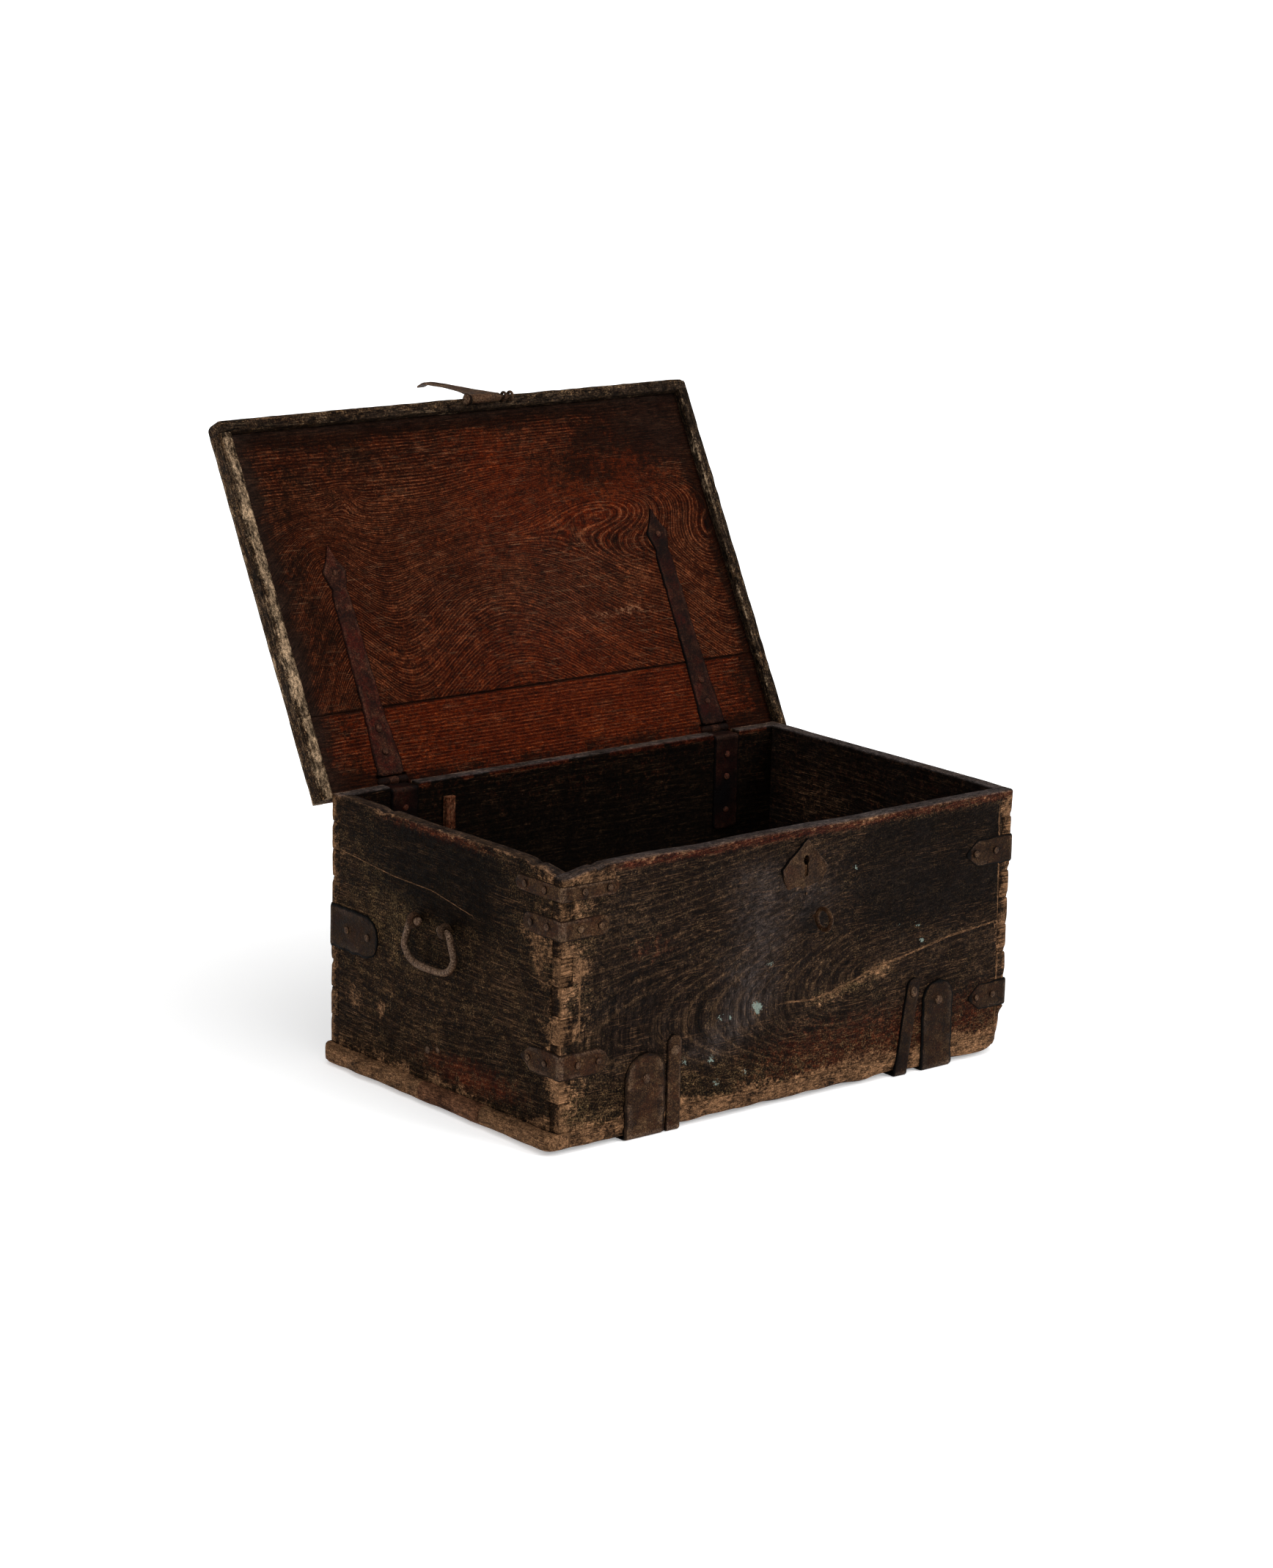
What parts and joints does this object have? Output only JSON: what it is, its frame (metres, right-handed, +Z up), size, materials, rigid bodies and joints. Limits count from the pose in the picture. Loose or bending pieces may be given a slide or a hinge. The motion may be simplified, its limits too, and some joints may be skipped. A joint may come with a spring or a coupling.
{
  "type": "wooden chest",
  "caption": "Iron-bound plank chest with finger-jointed corners, a hinged lipped lid standing open, a hasp, a lock and a drop handle on each end.",
  "frame": {"origin": "middle of the base's underside, on the floor", "axes": "+Z up, -Y out of the front with the lock, +X to the right along the front"},
  "size_m": [0.79, 0.8765, 0.8111],
  "materials": {
    "aged_teak": "dark weathered teak, dry and dusty, worn pale along its edges",
    "repair_teak": "reddish brown teak, dull",
    "lid_teak": "reddish brown figured teak with a soft sheen",
    "lip_teak": "grey-brown weathered teak moulding",
    "wrought_iron": "brown rusted wrought iron, pitted",
    "hinge_iron": "dark red-brown wrought iron",
    "lock_iron": "dark wrought iron"
  },
  "bodies": {
    "chest": {"back_board": "aged_teak", "base_board": "aged_teak", "base_edge_repair": "repair_teak", "base_strap_left_narrow": "wrought_iron", "base_strap_left_wide": "wrought_iron", "base_strap_nails": "wrought_iron", "base_strap_right_narrow": "wrought_iron", "base_strap_right_wide": "wrought_iron", "body_hinge_leaf_left": "hinge_iron", "body_hinge_leaf_right": "hinge_iron", "body_leaf_nails": "hinge_iron", "corner_strap_back_left": "wrought_iron", "corner_strap_back_right": "wrought_iron", "corner_strap_front_left_bottom": "wrought_iron", "corner_strap_front_left_middle": "wrought_iron", "corner_strap_front_left_top": "wrought_iron", "corner_strap_front_right_lower": "wrought_iron", "corner_strap_front_right_upper": "wrought_iron", "corner_strap_nails": "wrought_iron", "escutcheon": "wrought_iron", "escutcheon_nails": "wrought_iron", "front_board": "aged_teak", "hasp_staple": "wrought_iron", "hinge_pin_left": "hinge_iron", "hinge_pin_right": "hinge_iron", "left_handle_eye_back": "wrought_iron", "left_handle_eye_front": "wrought_iron", "left_side_board": "aged_teak", "left_side_nails": "wrought_iron", "lock_bolt_rail": "lock_iron", "lock_case": "lock_iron", "lock_drill_pin": "lock_iron", "right_handle_eye_back": "wrought_iron", "right_handle_eye_front": "wrought_iron", "right_side_board": "aged_teak", "till_cleat": "repair_teak"},
    "lid": {"lid_front_plank": "lid_teak", "lid_rear_plank": "lid_teak", "lid_front_lip": "lip_teak", "lid_left_lip_front": "lip_teak", "lid_left_lip_rear": "lip_teak", "lid_right_lip": "lip_teak", "lid_hinge_leaf_left": "hinge_iron", "lid_hinge_leaf_right": "hinge_iron", "lid_leaf_nails": "hinge_iron", "hasp_pin": "wrought_iron", "hasp_eye_loops": "wrought_iron"},
    "hasp": {"hasp": "wrought_iron"},
    "left_handle": {"left_handle": "wrought_iron"},
    "right_handle": {"right_handle": "wrought_iron"},
    "lock_bolt": {"lock_bolt": "lock_iron"}
  },
  "joints": [
    {"name": "lid_hinge", "type": "hinge", "parent": "chest", "child": "lid", "pos_m": [0, 0.2445, 0.3585], "axis": [1, 0, 0], "range_deg": [0, 118]},
    {"name": "hasp_pivot", "type": "hinge", "parent": "lid", "child": "hasp", "pos_m": [0.03, 0.46102, 0.80513], "axis": [1, 0, 0], "range_deg": [0, 152]},
    {"name": "left_handle_swing", "type": "hinge", "parent": "chest", "child": "left_handle", "pos_m": [-0.384, 0.014, 0.234], "axis": [0, 1, 0], "range_deg": [-3, 182]},
    {"name": "right_handle_swing", "type": "hinge", "parent": "chest", "child": "right_handle", "pos_m": [0.384, 0.014, 0.234], "axis": [0, -1, 0], "range_deg": [-3, 182]},
    {"name": "lock_bolt_throw", "type": "slide", "parent": "chest", "child": "lock_bolt", "axis": [1, 0, 0], "range_m": [0, 0.018]}
  ]
}
